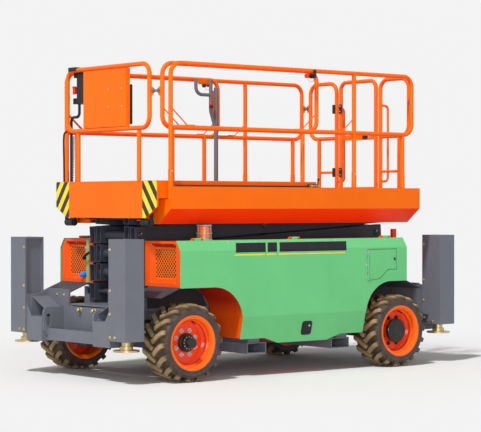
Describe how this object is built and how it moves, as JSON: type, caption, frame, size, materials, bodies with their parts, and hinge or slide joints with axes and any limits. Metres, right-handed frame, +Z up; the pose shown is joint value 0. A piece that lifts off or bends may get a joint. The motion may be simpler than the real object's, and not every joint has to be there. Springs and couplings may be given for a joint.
{
  "type": "scissor lift",
  "caption": "Rough-terrain scissor lift with levelling jacks, lugged tyres, hinged side covers and a railed platform with a sliding extension deck.",
  "frame": {"origin": "on the ground under the middle of the part's bounding box", "axes": "+X forward, towards the extension's end; +Y left; +Z up"},
  "size_m": [3.711, 1.84, 2.6103],
  "materials": {
    "orange_paint": "semi-gloss powder coat",
    "red_orange_paint": "semi-gloss powder coat",
    "green_paint": "semi-gloss powder coat",
    "slate_paint": "satin powder coat",
    "charcoal_paint": "satin powder coat",
    "battery_case": "matte moulded",
    "black_rubber": "matte",
    "black_plastic": "matte moulded",
    "amber_plastic": "clear amber",
    "grey_paint": "semi-gloss",
    "steel": "ground",
    "zinc": "zinc plated",
    "tyre": "dusty rubber",
    "black_iron": "painted black"
  },
  "bodies": {
    "chassis": {"chassis_frame": "slate_paint", "front_frame": "slate_paint", "rear_frame": "slate_paint", "jack_housings": "slate_paint", "front_axle": "charcoal_paint", "rear_axle": "charcoal_paint", "side_trays": "red_orange_paint", "front_grilles": "red_orange_paint", "mudflaps": "black_rubber", "battery_packs": "battery_case", "beacon_base": "black_plastic", "beacon_lens": "amber_plastic", "ladder": "red_orange_paint"},
    "cover_left": {"cover_left": "green_paint"},
    "cover_right": {"cover_right": "green_paint"},
    "control_door": {"control_door": "green_paint"},
    "knuckle_left": {"knuckle_left": "charcoal_paint"},
    "knuckle_right": {"knuckle_right": "charcoal_paint"},
    "tie_rod": {"tie_rod": "steel"},
    "steer_rod": {"steer_rod": "steel"},
    "wheel_fl": {"tyre_fl": "tyre", "rim_fl": "orange_paint", "hub_fl": "black_iron"},
    "jack_fl": {"jack_leg_fl": "zinc"},
    "wheel_fr": {"tyre_fr": "tyre", "rim_fr": "orange_paint", "hub_fr": "black_iron"},
    "jack_fr": {"jack_leg_fr": "zinc"},
    "wheel_rl": {"tyre_rl": "tyre", "rim_rl": "orange_paint", "hub_rl": "black_iron"},
    "jack_rl": {"jack_leg_rl": "zinc"},
    "wheel_rr": {"tyre_rr": "tyre", "rim_rr": "orange_paint", "hub_rr": "black_iron"},
    "jack_rr": {"jack_leg_rr": "zinc"},
    "inner_1": {"inner_1": "charcoal_paint"},
    "outer_1": {"outer_1": "charcoal_paint"},
    "inner_2": {"inner_2": "charcoal_paint"},
    "outer_2": {"outer_2": "charcoal_paint"},
    "inner_3": {"inner_3": "charcoal_paint"},
    "outer_3": {"outer_3": "charcoal_paint"},
    "inner_4": {"inner_4": "charcoal_paint"},
    "outer_4": {"outer_4": "charcoal_paint"},
    "lift_barrel": {"lift_barrel": "slate_paint"},
    "lift_rod": {"lift_rod": "steel"},
    "platform": {"main_deck": "red_orange_paint", "main_rails": "orange_paint", "rear_rails": "orange_paint"},
    "gate": {"gate": "orange_paint"},
    "extension": {"ext_deck": "red_orange_paint", "ext_rollers": "black_plastic", "ext_rails": "orange_paint", "sign_panel": "orange_paint", "control_box": "black_plastic", "control_cable": "black_plastic", "push_handle": "grey_paint"}
  },
  "joints": [
    {"name": "lift", "type": "hinge", "parent": "chassis", "child": "inner_1", "pos_m": [-1.345, 0, 0.7], "axis": [0, -1, 0], "range_deg": [0, 55.5]},
    {"name": "outer_1_pin", "type": "hinge", "parent": "inner_1", "child": "outer_1", "pos_m": [-0.01741, 0, 0.78], "axis": [0, -1, 0], "range_deg": [-112, 1]},
    {"name": "outer_2_pin", "type": "hinge", "parent": "inner_1", "child": "outer_2", "pos_m": [1.31018, 0, 0.86], "axis": [0, -1, 0], "range_deg": [-112, 1]},
    {"name": "inner_2_pin", "type": "hinge", "parent": "outer_2", "child": "inner_2", "pos_m": [-0.01741, 0, 0.94], "axis": [0, -1, 0], "range_deg": [-1, 112]},
    {"name": "inner_3_pin", "type": "hinge", "parent": "outer_2", "child": "inner_3", "pos_m": [-1.345, 0, 1.02], "axis": [0, -1, 0], "range_deg": [-1, 112]},
    {"name": "outer_3_pin", "type": "hinge", "parent": "inner_3", "child": "outer_3", "pos_m": [-0.01741, 0, 1.1], "axis": [0, -1, 0], "range_deg": [-112, 1]},
    {"name": "outer_4_pin", "type": "hinge", "parent": "inner_3", "child": "outer_4", "pos_m": [1.31018, 0, 1.18], "axis": [0, -1, 0], "range_deg": [-112, 1]},
    {"name": "inner_4_pin", "type": "hinge", "parent": "outer_4", "child": "inner_4", "pos_m": [-0.01741, 0, 1.26], "axis": [0, -1, 0], "range_deg": [-1, 112]},
    {"name": "platform_pin", "type": "hinge", "parent": "outer_4", "child": "platform", "pos_m": [-1.345, 0, 1.34], "axis": [0, -1, 0], "range_deg": [-1, 56.5]},
    {"name": "ram_pin", "type": "hinge", "parent": "inner_1", "child": "lift_barrel", "pos_m": [0.75419, 0, 0.8265], "axis": [0, -1, 0], "range_deg": [-115.54, 1]},
    {"name": "ram_rod", "type": "slide", "parent": "lift_barrel", "child": "lift_rod", "axis": [-0.9936, 0, 0.113], "range_m": [-0.002, 0.3422]},
    {"name": "extension_slide", "type": "slide", "parent": "platform", "child": "extension", "axis": [1, 0, 0], "range_m": [0, 1.2]},
    {"name": "gate_hinge", "type": "hinge", "parent": "platform", "child": "gate", "pos_m": [-1.43, -0.27, 2.035], "axis": [0, 0, -1], "range_deg": [0, 95]},
    {"name": "cover_left_hinge", "type": "hinge", "parent": "chassis", "child": "cover_left", "pos_m": [0.06, 0.812, 1.153], "axis": [1, 0, 0], "range_deg": [0, 75]},
    {"name": "cover_right_hinge", "type": "hinge", "parent": "chassis", "child": "cover_right", "pos_m": [0.06, -0.812, 1.153], "axis": [-1, 0, 0], "range_deg": [0, 75]},
    {"name": "control_door_hinge", "type": "hinge", "parent": "cover_left", "child": "control_door", "pos_m": [-0.737, 0.881, 0.89], "axis": [0, 0, -1], "range_deg": [0, 100]},
    {"name": "steer", "type": "hinge", "parent": "chassis", "child": "knuckle_left", "pos_m": [1.216, 0.64, 0.318], "axis": [0, 0, 1], "range_deg": [-35, 35]},
    {"name": "steer_right", "type": "hinge", "parent": "chassis", "child": "knuckle_right", "pos_m": [1.216, -0.64, 0.318], "axis": [0, 0, 1], "range_deg": [-36, 36]},
    {"name": "tie_rod_pin", "type": "hinge", "parent": "knuckle_left", "child": "tie_rod", "pos_m": [1.016, 0.57, 0.41], "axis": [0, 0, 1], "range_deg": [-40, 40]},
    {"name": "steer_rod_slide", "type": "slide", "parent": "chassis", "child": "steer_rod", "axis": [0, 1, 0], "range_m": [-0.098, 0.098]},
    {"name": "spin_fl", "type": "hinge", "parent": "knuckle_left", "child": "wheel_fl", "pos_m": [1.216, 0.765, 0.318], "axis": [0, 1, 0], "continuous": true},
    {"name": "spin_fr", "type": "hinge", "parent": "knuckle_right", "child": "wheel_fr", "pos_m": [1.216, -0.765, 0.318], "axis": [0, 1, 0], "continuous": true},
    {"name": "spin_rl", "type": "hinge", "parent": "chassis", "child": "wheel_rl", "pos_m": [-1.096, 0.765, 0.318], "axis": [0, 1, 0], "continuous": true},
    {"name": "spin_rr", "type": "hinge", "parent": "chassis", "child": "wheel_rr", "pos_m": [-1.096, -0.765, 0.318], "axis": [0, 1, 0], "continuous": true},
    {"name": "jack_slide_fl", "type": "slide", "parent": "chassis", "child": "jack_fl", "axis": [0, 0, -1], "range_m": [0, 0.45]},
    {"name": "jack_slide_fr", "type": "slide", "parent": "chassis", "child": "jack_fr", "axis": [0, 0, -1], "range_m": [0, 0.45]},
    {"name": "jack_slide_rl", "type": "slide", "parent": "chassis", "child": "jack_rl", "axis": [0, 0, -1], "range_m": [0, 0.45]},
    {"name": "jack_slide_rr", "type": "slide", "parent": "chassis", "child": "jack_rr", "axis": [0, 0, -1], "range_m": [0, 0.45]}
  ],
  "couplings": [
    {"joint": "outer_1_pin", "follows": "lift", "ratio": -2},
    {"joint": "outer_2_pin", "follows": "lift", "ratio": -2},
    {"joint": "inner_2_pin", "follows": "lift", "ratio": 2},
    {"joint": "inner_3_pin", "follows": "lift", "ratio": 2},
    {"joint": "outer_3_pin", "follows": "lift", "ratio": -2},
    {"joint": "outer_4_pin", "follows": "lift", "ratio": -2},
    {"joint": "inner_4_pin", "follows": "lift", "ratio": 2},
    {"joint": "platform_pin", "follows": "lift", "ratio": 1},
    {"joint": "ram_pin", "follows": "lift", "ratio": -2.0639},
    {"joint": "ram_rod", "follows": "lift", "m_per_rad": 0.35122},
    {"joint": "steer_right", "follows": "steer", "ratio": 1},
    {"joint": "tie_rod_pin", "follows": "steer", "ratio": -1.1126},
    {"joint": "steer_rod_slide", "follows": "steer", "m_per_rad": 0.155}
  ]
}
